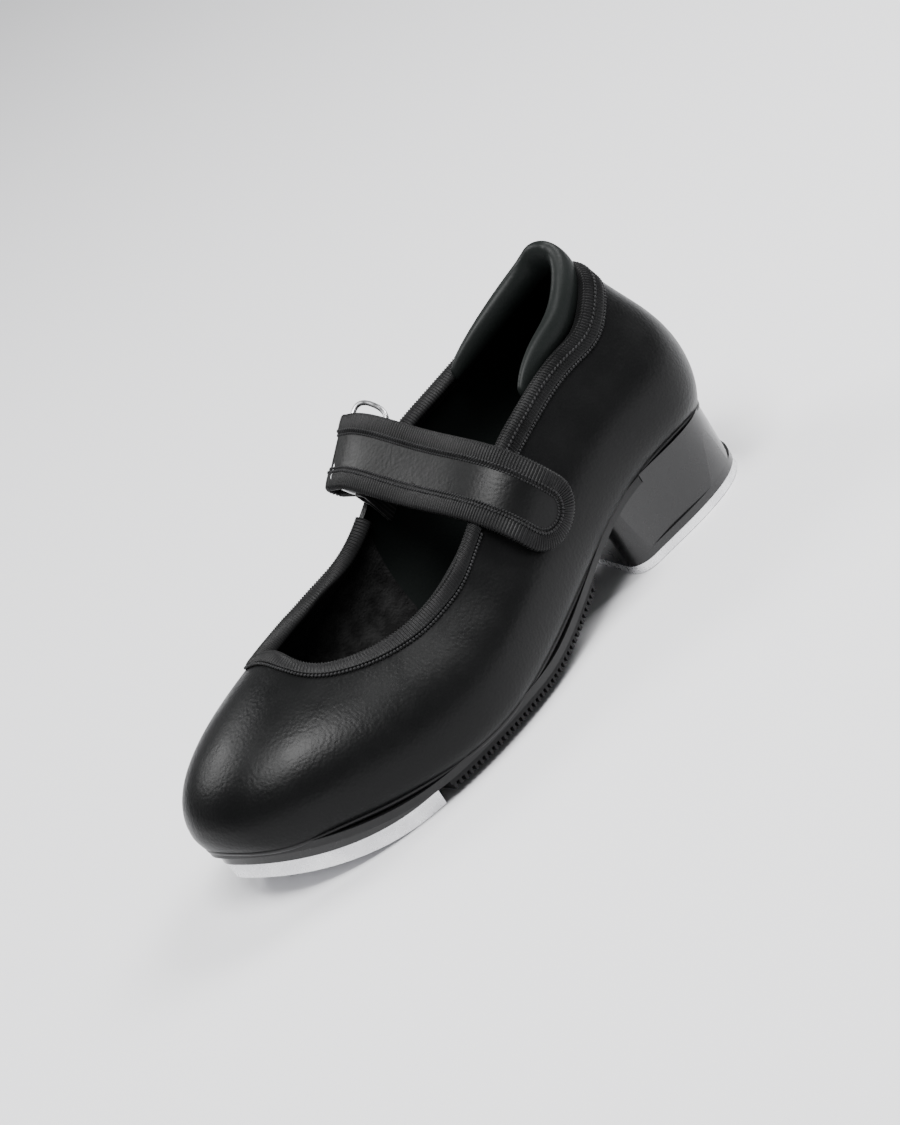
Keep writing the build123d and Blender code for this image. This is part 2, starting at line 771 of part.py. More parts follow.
os.makedirs("parts", exist_ok=True)
whole = []
for name, make in PARTS.items():
    made = make()
    solids = made if isinstance(made, list) else made.solids()
    placed = Pos(-ORIGIN_X, -ORIGIN_Y, 0) * Compound(children=[s for item in solids for s in item.solids()])
    export_step(placed, f"parts/{name}.step")
    whole.append(placed)
box = Compound(children=whole).bounding_box()
print("middle of the box", round(box.center().X, 2), round(box.center().Y, 2), "size", box.size)
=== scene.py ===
import json
import math
import random

import bmesh
import bpy
import numpy as np
from mathutils import Matrix, Vector
from mathutils.bvhtree import BVHTree


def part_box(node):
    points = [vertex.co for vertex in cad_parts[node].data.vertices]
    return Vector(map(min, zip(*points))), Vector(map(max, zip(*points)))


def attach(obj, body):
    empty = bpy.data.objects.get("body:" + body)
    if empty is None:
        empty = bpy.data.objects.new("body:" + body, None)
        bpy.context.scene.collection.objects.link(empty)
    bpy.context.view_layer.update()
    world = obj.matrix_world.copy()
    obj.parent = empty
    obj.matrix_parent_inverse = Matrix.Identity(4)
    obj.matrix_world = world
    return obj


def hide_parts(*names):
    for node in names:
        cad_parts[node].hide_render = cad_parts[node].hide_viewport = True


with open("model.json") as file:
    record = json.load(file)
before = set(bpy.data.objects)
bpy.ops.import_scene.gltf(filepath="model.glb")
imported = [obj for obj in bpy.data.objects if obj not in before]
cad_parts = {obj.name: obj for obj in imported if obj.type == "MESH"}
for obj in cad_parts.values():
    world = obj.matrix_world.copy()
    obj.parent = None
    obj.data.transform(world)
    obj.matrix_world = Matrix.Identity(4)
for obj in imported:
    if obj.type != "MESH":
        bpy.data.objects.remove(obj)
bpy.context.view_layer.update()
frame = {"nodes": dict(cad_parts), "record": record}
random.seed(7)

MM = 0.001
WALL = 2.9 * MM            # upper, stiffener and lining together
RIB = 0.86 * MM            # pitch of the ribs in the binding tape
AROUND = 240               # columns of the wall, round the shoe
UPRIGHT = 44               # rows of the wall, feather edge to topline
DIP_DEPTH = 4.7 * MM       # how far the collar dips below the ankle
DIP_COLUMN = 222           # where that dip is deepest
DIP_SPREAD = 8.5           # columns on each side over which it fades
TRIM_STEP = 0.5 * MM       # spacing of the points that a binding follows
SKIN_TURN = 1.9 * MM       # how roundly the upper turns under at the sole
ROLL_OUTER = 38 * MM       # how far the collar roll runs forward of the heel, outer side
ROLL_INNER = 34 * MM       # the same, inner side


# ---------------------------------------------------------------- mesh helpers
def unit(a):
    return a / np.maximum(np.linalg.norm(a, axis=-1, keepdims=True), 1e-12)


def make_object(name, points, faces, material, body, smooth=True):
    mesh = bpy.data.meshes.new(name)
    mesh.from_pydata([tuple(p) for p in points], [], faces)
    mesh.validate()
    mesh.update()
    if smooth:
        mesh.polygons.foreach_set("use_smooth", [True] * len(mesh.polygons))
    piece = bpy.data.objects.new(name, mesh)
    bpy.context.scene.collection.objects.link(piece)
    mesh.materials.append(material)
    recalc_outward(mesh)
    if body:
        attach(piece, body)
    return piece


def recalc_outward(mesh):
    shape = bmesh.new()
    shape.from_mesh(mesh)
    bmesh.ops.recalc_face_normals(shape, faces=shape.faces)
    shape.to_mesh(mesh)
    shape.free()


def grid_faces(rows, cols, close_rows, close_cols, start=0):
    faces = []
    for i in range(rows if close_rows else rows - 1):
        for j in range(cols if close_cols else cols - 1):
            a = i * cols + j
            b = i * cols + (j + 1) % cols
            c = ((i + 1) % rows) * cols + (j + 1) % cols
            d = ((i + 1) % rows) * cols + j
            faces.append((start + a, start + b, start + c, start + d))
    return faces


def grid_object(name, grid, close_rows, close_cols, material, body, caps=False):
    rows, cols = grid.shape[:2]
    faces = grid_faces(rows, cols, close_rows, close_cols)
    if caps:
        faces.append(tuple(range(cols)))
        faces.append(tuple((rows - 1) * cols + j for j in range(cols)))
    return make_object(name, grid.reshape(-1, 3), faces, material, body)


# ---------------------------------------------------------------- the wall, read from the frame
def tree_of(*nodes):
    points, faces = [], []
    for node in nodes:
        mesh = frame["nodes"][node].data
        first = len(points)
        points += [v.co.copy() for v in mesh.vertices]
        faces += [[first + k for k in p.vertices] for p in mesh.polygons]
    return BVHTree.FromPolygons(points, faces)


def fan(step):
    """Where a column's half-plane stands: its foot on the shoe's middle line and its direction."""
    turn = math.tau * step / AROUND
    low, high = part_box("upper")
    half = (high.x - low.x) / 2
    middle = (high.x + low.x) / 2
    direction = Vector((math.cos(turn) * 0.46, math.sin(turn), 0)).normalized()
    origin = Vector((middle + 0.42 * half * math.cos(turn), 0.0005, 0.034 + 0.010 * math.cos(turn)))
    return origin, direction


def outer_hit(tree, origin, direction, angle):
    """The outside of the wall at an angle above the horizon, seen from the fan's foot."""
    out = direction * math.cos(angle) + Vector((0, 0, math.sin(angle)))
    place = tree.ray_cast(origin + out * 0.2, -out, 0.2)[0]
    return place


def edge_angle(tree, origin, direction, inside, outside):
    for _ in range(13):
        middle = (inside + outside) / 2
        if outer_hit(tree, origin, direction, middle) is None:
            outside = middle
        else:
            inside = middle
    return inside


def read_wall():
    """A grid over the outside of the upper: columns round the shoe, rows from feather to topline."""
    tree = tree_of("upper")
    grid = np.zeros((AROUND, UPRIGHT, 3))
    for i in range(AROUND):
        origin, direction = fan(i)
        low = edge_angle(tree, origin, direction, 0.0, -1.5)
        high = edge_angle(tree, origin, direction, 0.0, 2.4)
        column = []
        for k in range(61):
            place = outer_hit(tree, origin, direction, low + (high - low) * k / 60)
            if place is not None:
                column.append(tuple(place))
        column = np.array(column)
        grid[i] = resample(column, UPRIGHT)
    return smooth_wall(grid)


def resample(line, count):
    length = np.concatenate([[0], np.cumsum(np.linalg.norm(np.diff(line, axis=0), axis=1))])
    at = np.linspace(0, length[-1], count)
    return np.stack([np.interp(at, length, line[:, k]) for k in range(3)], axis=-1)


def smooth_wall(grid):
    """Spaces the columns evenly, and keeps the broad shape but not the facets of the mesh."""
    loop = np.concatenate([grid, grid[:1]], axis=0)
    step = np.linalg.norm(np.diff(loop, axis=0), axis=2).mean(axis=1)
    length = np.concatenate([[0], np.cumsum(step)])
    even = np.linspace(0, length[-1], AROUND + 1)[:-1]
    for row in range(UPRIGHT):
        for axis in range(3):
            grid[:, row, axis] = np.interp(even, length, loop[:, row, axis])
    wave = np.fft.rfft(grid, axis=0)
    wave[26:] = 0
    grid = np.fft.irfft(wave, n=AROUND, axis=0)
    t = np.linspace(-1, 1, UPRIGHT)
    basis = np.polynomial.legendre.legvander(t, 6)
    flat = grid.transpose(1, 0, 2).reshape(UPRIGHT, -1)
    fit = basis @ np.linalg.lstsq(basis, flat, rcond=None)[0]
    return fit.reshape(UPRIGHT, AROUND, 3).transpose(1, 0, 2)


def dip_collar(grid):
    """The collar dips below the ankle on the outer side, between the strap and the heel."""
    for i in range(AROUND):
        dip = DIP_DEPTH * math.exp(-(((i - DIP_COLUMN) / DIP_SPREAD) ** 2))
        length = np.linalg.norm(np.diff(grid[i], axis=0), axis=1).sum()
        keep = (1 - dip / length) * (UPRIGHT - 1)
        at = np.linspace(0, keep, UPRIGHT)
        grid[i] = np.stack([np.interp(at, np.arange(UPRIGHT), grid[i, :, k]) for k in range(3)], axis=-1)
    return grid


WALL_GRID = dip_collar(read_wall())


def wall_normals(grid):
    around = np.roll(grid, -1, axis=0) - np.roll(grid, 1, axis=0)
    up = np.gradient(grid, axis=1)
    return unit(np.cross(around, up))


NORMALS = wall_normals(WALL_GRID)
LENGTHS = np.linalg.norm(np.diff(WALL_GRID, axis=1), axis=2).sum(axis=1)


def sample(array, u, row):
    """Smooth reading of a wall array at fractional column and row."""
    u = np.asarray(u, float) % AROUND
    row = np.clip(np.asarray(row, float), 0, UPRIGHT - 1)
    i = np.floor(u).astype(int) % AROUND
    j = np.minimum(np.floor(row).astype(int), UPRIGHT - 2)
    fu = (u - np.floor(u))[..., None]
    fv = (row - j)[..., None]
    i2 = (i + 1) % AROUND
    low = array[i, j] * (1 - fu) + array[i2, j] * fu
    high = array[i, j + 1] * (1 - fu) + array[i2, j + 1] * fu
    return low * (1 - fv) + high * fv


def wall_place(u, down, out):
    """A place at a distance down the wall from the topline (negative is above) and out from it."""
    u, down, out = np.broadcast_arrays(np.asarray(u, float), down, out)
    length = np.interp(u % AROUND, np.arange(AROUND + 1), np.append(LENGTHS, LENGTHS[0]))
    row = (1 - np.maximum(down, 0) / length) * (UPRIGHT - 1)
    place = sample(WALL_GRID, u, row)
    normal = unit(sample(NORMALS, u, row))
    top = sample(WALL_GRID, u, np.full(u.shape, UPRIGHT - 1.0))
    under = sample(WALL_GRID, u, np.full(u.shape, UPRIGHT - 2.0))
    rise = unit(top - under)
    return place + normal * out[..., None] + rise * np.maximum(-down, 0)[..., None]


def topline_steps(u0, u1, step):
    """Columns evenly spaced along the topline between two columns."""
    fine = np.linspace(u0, u1, 800)
    line = wall_place(fine, 0.0, 0.0)
    length = np.concatenate([[0], np.cumsum(np.linalg.norm(np.diff(line, axis=0), axis=1))])
    count = max(2, int(round(length[-1] / step)) + 1)
    at = np.linspace(0, length[-1], count)
    return np.interp(at, length, fine), at


def column_at_x(x, side):
    """The column whose topline stands at x, on the outer (-1) or inner (+1) side."""
    top = WALL_GRID[:, -1]
    near = np.where(top[:, 1] * side > 0.004, np.abs(top[:, 0] - x), 9)
    return int(np.argmin(near))


# ---------------------------------------------------------------- materials
def new_material(name, color, roughness, metallic=0.0, coat=0.0, sheen=0.0, shine=0.5):
    material = bpy.data.materials.new(name)
    material.use_nodes = True
    shader = material.node_tree.nodes["Principled BSDF"]
    shader.inputs["Base Color"].default_value = (*color, 1)
    shader.inputs["Roughness"].default_value = roughness
    shader.inputs["Metallic"].default_value = metallic
    shader.inputs["Coat Weight"].default_value = coat
    shader.inputs["Sheen Weight"].default_value = sheen
    shader.inputs["Specular IOR Level"].default_value = shine
    return material, material.node_tree, shader


def add_noise(tree, kind, scale, detail=3.0):
    place = tree.nodes.new("ShaderNodeTexCoord")
    texture = tree.nodes.new(kind)
    texture.inputs["Scale"].default_value = scale
    if kind == "ShaderNodeTexNoise":
        texture.inputs["Detail"].default_value = detail
    tree.links.new(place.outputs["Object"], texture.inputs["Vector"])
    return texture


def ramp_between(tree, source, low, high, start=0.35, end=0.65):
    ramp = tree.nodes.new("ShaderNodeMapRange")
    ramp.inputs["From Min"].default_value = start
    ramp.inputs["From Max"].default_value = end
    ramp.inputs["To Min"].default_value = low
    ramp.inputs["To Max"].default_value = high
    tree.links.new(source, ramp.inputs["Value"])
    return ramp.outputs["Result"]


def color_between(tree, source, low, high, start=0.35, end=0.65):
    ramp = tree.nodes.new("ShaderNodeValToRGB")
    ramp.color_ramp.elements[0].position = start
    ramp.color_ramp.elements[1].position = end
    ramp.color_ramp.elements[0].color = (*low, 1)
    ramp.color_ramp.elements[1].color = (*high, 1)
    tree.links.new(source, ramp.inputs["Fac"])
    return ramp.outputs["Color"]


def add_bump(tree, shader, source, height, strength=1.0, after=None):
    bump = tree.nodes.new("ShaderNodeBump")
    bump.inputs["Distance"].default_value = height
    bump.inputs["Strength"].default_value = strength
    tree.links.new(source, bump.inputs["Height"])
    if after is not None:
        tree.links.new(after.outputs["Normal"], bump.inputs["Normal"])
    tree.links.new(bump.outputs["Normal"], shader.inputs["Normal"])
    return bump


def leather(name, color, roughness, grain=1150, depth=0.00009):
    """Smooth coated leather: fine pebbled grain and slightly uneven shine."""
    material, tree, shader = new_material(name, color, roughness, shine=0.13)
    cells = add_noise(tree, "ShaderNodeTexVoronoi", grain)
    cells.feature = "SMOOTH_F1"
    cloud = add_noise(tree, "ShaderNodeTexNoise", 90)
    fine = add_noise(tree, "ShaderNodeTexNoise", 5200, 4)
    tree.links.new(ramp_between(tree, cloud.outputs["Fac"], roughness - 0.04, roughness + 0.05),
                   shader.inputs["Roughness"])
    lighter = tuple(1.35 * c + 0.001 for c in color)
    tree.links.new(color_between(tree, fine.outputs["Fac"], color, lighter), shader.inputs["Base Color"])
    first = add_bump(tree, shader, cells.outputs["Distance"], depth, 0.6)
    add_bump(tree, shader, fine.outputs["Fac"], depth * 0.6, 0.5, first)
    return material


def brushed_fabric(name, color):
    """Short brushed nap."""
    material, tree, shader = new_material(name, color, 0.95, sheen=0.03, shine=0.05)
    shader.inputs["Sheen Roughness"].default_value = 0.6
    fuzz = add_noise(tree, "ShaderNodeTexNoise", 1500, 6)
    patch = add_noise(tree, "ShaderNodeTexNoise", 220, 5)
    lighter = tuple(3.2 * c for c in color)
    patchy = color_between(tree, patch.outputs["Fac"], color, lighter, 0.38, 0.72)
    tree.links.new(patchy, shader.inputs["Base Color"])
    first = add_bump(tree, shader, fuzz.outputs["Fac"], 0.0006, 0.9)
    add_bump(tree, shader, patch.outputs["Fac"], 0.0012, 0.6, first)
    return material


def ribbon(name, color):
    """Grosgrain tape: the ribs are modelled, the weave between them is bump."""
    material, tree, shader = new_material(name, color, 0.46, sheen=0.02, shine=0.14)
    thread = add_noise(tree, "ShaderNodeTexNoise", 3800, 3)
    cloud = add_noise(tree, "ShaderNodeTexNoise", 160, 2)
    lighter = tuple(1.7 * c for c in color)
    cloudy = color_between(tree, cloud.outputs["Fac"], color, lighter)
    tree.links.new(cloudy, shader.inputs["Base Color"])
    tree.links.new(ramp_between(tree, thread.outputs["Fac"], 0.36, 0.52), shader.inputs["Roughness"])
    add_bump(tree, shader, thread.outputs["Fac"], 0.00008, 0.5)
    return material


def gloss_plastic(name, color, roughness, coat=0.4):
    material, tree, shader = new_material(name, color, roughness, coat=coat, shine=0.25)
    shader.inputs["Coat Roughness"].default_value = 0.12
    cloud = add_noise(tree, "ShaderNodeTexNoise", 140, 3)
    marks = add_noise(tree, "ShaderNodeTexNoise", 2600, 2)
    tree.links.new(ramp_between(tree, cloud.outputs["Fac"], roughness - 0.05, roughness + 0.06),
                   shader.inputs["Roughness"])
    lighter = tuple(1.3 * c for c in color)
    marked = color_between(tree, marks.outputs["Fac"], color, lighter)
    tree.links.new(marked, shader.inputs["Base Color"])
    add_bump(tree, shader, marks.outputs["Fac"], 0.00002, 0.4)
    return material


def tap_metal(name, metallic=1.0, tone=1.0):
    """Pale cast aluminium, brushed and slightly mottled."""
    material, tree, shader = new_material(name, (0.85, 0.85, 0.86), 0.3, metallic=metallic)
    cloud = add_noise(tree, "ShaderNodeTexNoise", 120, 5)
    scratch = add_noise(tree, "ShaderNodeTexNoise", 900, 6)
    tree.links.new(color_between(tree, cloud.outputs["Fac"], (0.74 * tone, 0.74 * tone, 0.76 * tone),
                                 (0.93 * tone, 0.93 * tone, 0.94 * tone), 0.3, 0.7),
                   shader.inputs["Base Color"])
    tree.links.new(ramp_between(tree, scratch.outputs["Fac"], 0.22, 0.42), shader.inputs["Roughness"])
    add_bump(tree, shader, scratch.outputs["Fac"], 0.00004, 0.5)
    return material


def rubber(name):
    material, tree, shader = new_material(name, (0.014, 0.014, 0.015), 0.62, shine=0.2)
    grit = add_noise(tree, "ShaderNodeTexNoise", 1800, 4)
    tree.links.new(ramp_between(tree, grit.outputs["Fac"], 0.5, 0.72), shader.inputs["Roughness"])
    tree.links.new(color_between(tree, grit.outputs["Fac"], (0.004, 0.004, 0.0043), (0.010, 0.010, 0.0105)),
                   shader.inputs["Base Color"])
    add_bump(tree, shader, grit.outputs["Fac"], 0.0001, 0.5)
    return material


UPPER_LEATHER = leather("upper_leather", (0.0024, 0.0025, 0.0026), 0.34)
STRAP_LEATHER = leather("strap_leather", (0.0032, 0.0033, 0.0034), 0.38)
SOFT_LINING = leather("soft_lining", (0.0055, 0.0068, 0.0064), 0.42, 1300, 0.00005)
BRUSHED = brushed_fabric("brushed_lining", (0.0065, 0.0065, 0.0065))
RIBBON = ribbon("ribbed_tape", (0.0038, 0.0038, 0.0040))
THREAD = ribbon("stitch_thread", (0.009, 0.009, 0.0095))
SOLE_EDGE = gloss_plastic("sole_edge", (0.006, 0.006, 0.0062), 0.42, 0.1)
GLOSS = gloss_plastic("gloss_black", (0.0065, 0.0065, 0.0068), 0.26)
METAL = tap_metal("tap_metal", 0.55)
RUBBER = rubber("ribbed_rubber")
RING_METAL = tap_metal("ring_metal", 1.0, 0.5)
STEEL = tap_metal("screw_steel")


def repaint(node, material):
    mesh = frame["nodes"][node].data
    mesh.materials.clear()
    mesh.materials.append(material)
    slot_of(node)


def slot_of(node):
    for subpart in frame["record"]["subparts"]:
        if subpart["node"] == node:
            return subpart["material_slot"]
    return None


# ---------------------------------------------------------------- upper and linings
def upper_skin():
    """The outside of the upper, turned under at the feather edge and over at the topline."""
    turn_radius = SKIN_TURN
    u = np.arange(AROUND)
    rows = []
    feather = LENGTHS
    for k in range(7):
        angle = math.radians(110 * (1 - k / 7))
        base = wall_place(u, feather - 0.1 * MM, -turn_radius)
        normal = unit(sample(NORMALS, u, np.zeros(AROUND)))
        fall = unit(sample(WALL_GRID, u, np.zeros(AROUND)) - sample(WALL_GRID, u, np.ones(AROUND)))
        rows.append(base + turn_radius * (math.cos(angle) * normal + math.sin(angle) * fall))
    for k in range(60):
        down = (feather - 0.1 * MM) * (1 - k / 59)
        rows.append(wall_place(u, down, 0.0))
    for k in range(4):
        rows.append(wall_place(u, 0.0 * u, -1.2 * MM * (k + 1) / 4))
    grid = np.stack(rows, axis=1)
    piece = grid_object("upper_skin", grid, True, False, UPPER_LEATHER, "shoe")
    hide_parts("upper")
    return piece


def welt():
    """A narrow dark cord in the seam between the upper and the sole."""
    u = np.arange(AROUND)
    radius = 1.0 * MM
    centre = wall_place(u, LENGTHS, -1.0 * MM) - np.array([0, 0, 0.9 * MM])
    side = unit(sample(NORMALS, u, np.zeros(AROUND)) * np.array([1, 1, 0]))
    rows = []
    for k in range(12):
        angle = math.tau * k / 12
        rows.append(centre + radius * (math.cos(angle) * side + math.sin(angle) * np.array([0, 0, 1.0])))
    piece = grid_object("welt", np.stack(rows, axis=1), True, True, SOLE_EDGE, "shoe")
    return piece


def lining_part(name, u0, u1, material, node, roughen):
    """The inside of the wall between two columns."""
    u = np.linspace(u0, u1, int(abs(u1 - u0)) + 1)
    length = np.interp(u % AROUND, np.arange(AROUND + 1), np.append(LENGTHS, LENGTHS[0]))
    rows = []
    for k in range(50):
        down = 0.4 * MM + (length - 1.5 * MM) * k / 49
        wobble = np.array([random.uniform(-1, 1) for _ in u]) * roughen
        rows.append(wall_place(u, down, -WALL + wobble))
    piece = grid_object(name, np.stack(rows, axis=1), False, False, material, "shoe")
    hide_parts(node)
    return piece


# ---------------------------------------------------------------- trim along a path
def tape(name, place, length, profile, material, body, ribbed, pitch=RIB, height=0.42 * MM):
    """A tape whose cross ribs are real: place(s, a, b) puts a point at s along, a across, b out.

    profile is a list of (a, b, share), share telling how strongly a point of the section is ribbed.
    """
    count = int(length / pitch) * 6
    steps = np.linspace(0, length, count)
    lift = (np.abs(np.sin(math.pi * steps / pitch)) ** 0.7 - 0.6) * height if ribbed else 0 * steps
    columns = []
    for index, (a, b, share) in enumerate(profile):
        before = np.array(profile[index - 1][:2])
        after = np.array(profile[(index + 1) % len(profile)][:2])
        run = after - before
        out = np.array([-run[1], run[0]]) / (np.linalg.norm(run) + 1e-9)
        columns.append(place(steps, a + out[0] * lift * share, b + out[1] * lift * share))
    grid = np.stack(columns, axis=1)
    return grid_object(name, grid, False, True, material, body, caps=True)


def beads(name, line, pitch, radius, material, body, slant=0.5):
    """A row of stitches: short plump threads, end to end, slightly slanted to their line."""
    length = np.concatenate([[0], np.cumsum(np.linalg.norm(np.diff(line["at"], axis=0), axis=1))])
    count = int(length[-1] / pitch)
    points, faces = [], []
    for k in range(count):
        s = (k + 0.5) * pitch
        at = np.array([np.interp(s, length, line["at"][:, c]) for c in range(3)])
        ahead = np.array([np.interp(s + 0.1 * MM, length, line["at"][:, c]) for c in range(3)])
        out = unit(np.array([np.interp(s, length, line["out"][:, c]) for c in range(3)]))
        along = unit(ahead - at)
        across = np.cross(out, along)
        along = unit(along + slant * across)
        across = np.cross(out, along)
        add_bead(points, faces, at, along * pitch * 0.43, across * radius, out * radius)
    return make_object(name, points, faces, material, body)


def add_bead(points, faces, at, along, across, out):
    rings, sides = 5, 6
    start = len(points)
    for i in range(rings):
        turn = math.pi * (i + 0.5) / rings
        for j in range(sides):
            angle = math.tau * j / sides
            spread = math.sin(turn) ** 0.6
            points.append(at - along * math.cos(turn)
                          + (across * math.cos(angle) + out * math.sin(angle)) * spread)
    faces += grid_faces(rings, sides, False, True, start)
    faces.append(tuple(start + j for j in range(sides)))
    faces.append(tuple(start + (rings - 1) * sides + j for j in range(sides)))


def rounded_leg(depth, thick, inner_depth, gap_in):
    """Section of a binding folded over the topline, as (down the wall, out from it, rib share)."""
    profile = []
    for k in range(11):
        t = k / 10
        crown = thick * (0.55 + 0.45 * math.sin(math.pi * min(1, 0.12 + 0.88 * t)) ** 0.5)
        profile.append((depth * (1 - t), crown, min(1.0, 6 * t + 0.1)))
    middle = (thick - gap_in) / 2
    half = (thick + gap_in) / 2
    for k in range(1, 8):
        angle = math.pi * k / 8
        profile.append((-0.75 * MM * math.sin(angle), middle + half * math.cos(angle) * 0.98, 1.0))
    for k in range(6):
        profile.append((inner_depth * k / 5, -gap_in, 0.8 if k < 5 else 0.0))
    profile.append((inner_depth, -gap_in + 0.4 * MM, 0.0))
    profile.append((0.3 * MM, -gap_in + 0.5 * MM, 0.0))
    profile.append((0.3 * MM, 0.05 * MM, 0.0))
    profile.append((depth, 0.05 * MM, 0.0))
    return profile


def topline_tape(name, u0, u1, depth, inner_depth, node):
    columns, at = topline_steps(u0, u1, TRIM_STEP)

    def place(s, down, out):
        return wall_place(np.interp(s, at, columns), down, out)

    profile = rounded_leg(depth, 0.85 * MM, inner_depth, WALL + 0.8 * MM)
    piece = tape(name, place, at[-1], profile, RIBBON, "shoe", True)
    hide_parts(node)
    return piece


def topline_beads(name, u0, u1, down, out, pitch=1.0 * MM, radius=0.42 * MM):
    columns, _ = topline_steps(u0, u1, TRIM_STEP)
    line = {"at": wall_place(columns, down, out)}
    line["out"] = unit(wall_place(columns, down, out + MM) - line["at"])
    piece = beads(name, line, pitch, radius, THREAD, "shoe")
    return piece


TAB_LOW, TAB_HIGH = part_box("ring_tab")
BREAK_OUTER = column_at_x(0.0035, -1)
TAB_FRONT = column_at_x(TAB_LOW.x, +1)
TAB_REAR = column_at_x(TAB_HIGH.x, +1)


def topline_trim():
    """Front binding with one row of stitches, and the wider collar binding with two."""
    collar = (BREAK_OUTER + 1, AROUND + TAB_REAR)
    topline_tape("throat_tape", TAB_FRONT, BREAK_OUTER, 3.6 * MM, 3.2 * MM, "throat_binding")
    topline_tape("collar_tape", *collar, 6.0 * MM, 3.6 * MM, "collar_binding")
    topline_beads("throat_stitches", TAB_FRONT, BREAK_OUTER, 4.2 * MM, 0.4 * MM)
    topline_beads("collar_stitches_low", *collar, 6.4 * MM, 0.4 * MM)
    topline_beads("collar_stitches_mid", *collar, 3.0 * MM, 1.0 * MM, 1.3 * MM, 0.34 * MM)


# ---------------------------------------------------------------- strap, read from the frame
def joint(name):
    for item in frame["record"]["behaviour"]["joints"]:
        if item["name"] == name:
            return item
    return None


BAR = np.array(joint("strap_open")["pos_m"])            # the ring bar that the strap folds round
ACROSS = -np.array(joint("strap_open")["axis"])         # across the strap, rearward
ACROSS = ACROSS / np.linalg.norm(ACROSS)
STRAP_HALF = 10.25 * MM
TOP_POINTS = 90                                         # along the strap's top layer
TIP_POINTS = 13                                         # more of them round its tip
FOLD_RADIUS = 2.1 * MM
TAB_BAR = np.array([0, -10.4, -4.75]) * MM              # the ring's other bar, from the first
HALF_THICK = 1.13 * MM


def strap_ray(tree, foot, out, across):
    start = foot + ACROSS * across + out * 0.15
    place = tree.ray_cast(Vector(start), Vector(-out), 0.15)[0]
    return None if place is None else np.array(place)


def strap_edge(tree, foot, out, inside, outside):
    for _ in range(12):
        middle = (inside + outside) / 2
        if strap_ray(tree, foot, out, middle) is None:
            outside = middle
        else:
            inside = middle
    return strap_ray(tree, foot, out, inside), inside


def read_strap():
    """Middle line and width direction of the strap's top face, from the ring to the tip."""
    tree = tree_of("strap_binding", "strap_panel")
    side = np.array([0, -1.0, 0])
    upward = np.cross(ACROSS, side)
    upward = upward * np.sign(upward[2])
    foot = BAR + side * 0.030 - upward * 0.036
    stations = []
    centre = 0.0
    for k in range(240):
        angle = math.radians(-40 + k * 0.75)
        out = math.cos(angle) * upward + math.sin(angle) * side
        if strap_ray(tree, foot, out, centre) is None:
            if stations:
                break
            continue
        rear, high = strap_edge(tree, foot, out, centre, centre + 0.02)
        front, low = strap_edge(tree, foot, out, centre, centre - 0.02)
        centre = (high + low) / 2
        stations.append((rear, front))
    rear = np.array([s[0] for s in stations])
    front = np.array([s[1] for s in stations])
    width = np.linalg.norm(rear - front, axis=1)
    full = width > 0.985 * np.median(width[: len(width) // 2])
    last = int(np.max(np.nonzero(full)))
    middle = (rear + front) / 2
    tip = middle[-1]
    middle, across = middle[: last + 1], unit(rear - front)[: last + 1]
    return middle, across, float(np.linalg.norm(tip - middle[-1]))


def smooth_line(scaled, line, degree):
    """A line read from the mesh, as a polynomial of its length, which runs from -1 to 1."""
    at = np.linspace(-1, 1, TOP_POINTS)
    return np.stack([np.polyval(np.polyfit(scaled, line[:, k], degree), at) for k in range(3)], 1)


def strap_frames():
    """Middle surface of the whole top layer: distance, point, across and outward, fold first."""
    middle, across, beyond = read_strap()
    length = np.concatenate([[0], np.cumsum(np.linalg.norm(np.diff(middle, axis=0), axis=1))])
    even = np.linspace(0, length[-1], TOP_POINTS)
    scaled = 2 * length / length[-1] - 1
    point = smooth_line(scaled, middle, 5)
    wide = smooth_line(scaled, across, 3)
    along = unit(np.gradient(point, axis=0))
    wide = unit(wide - along * np.sum(wide * along, axis=1, keepdims=True))
    out = unit(np.cross(wide, along))
    out = out * np.sign(out[0, 2])
    point = point - out * HALF_THICK
    extra = np.linspace(0, beyond + 1.0 * MM, TIP_POINTS + 1)[1:]
    bend = (along[-1] - along[-6]) / 5
    tail, tail_along = [], []
    place, way = point[-1], along[-1]
    for step in np.diff(np.concatenate([[0], extra])):
        way = unit(way + bend * 0.5 * step / (even[1] - even[0]))
        place = place + way * step
        tail.append(place)
        tail_along.append(way)
    tail_out = unit(np.cross(np.broadcast_to(wide[-1], (TIP_POINTS, 3)), np.array(tail_along)))
    tail_out = tail_out * np.sign(np.sum(tail_out[0] * out[-1]))
    first = unit(point[5] - point[2])
    for k in range(5):
        point[k] = point[5] - first * (even[5] - even[k])
        out[k] = out[5]
        wide[k] = wide[5]
    top = {"s": np.concatenate([even, even[-1] + extra]), "at": np.vstack([point, tail]),
           "across": np.vstack([wide, np.repeat(wide[-1:], TIP_POINTS, axis=0)]),
           "out": np.vstack([out, tail_out])}
    return add_fold(top)


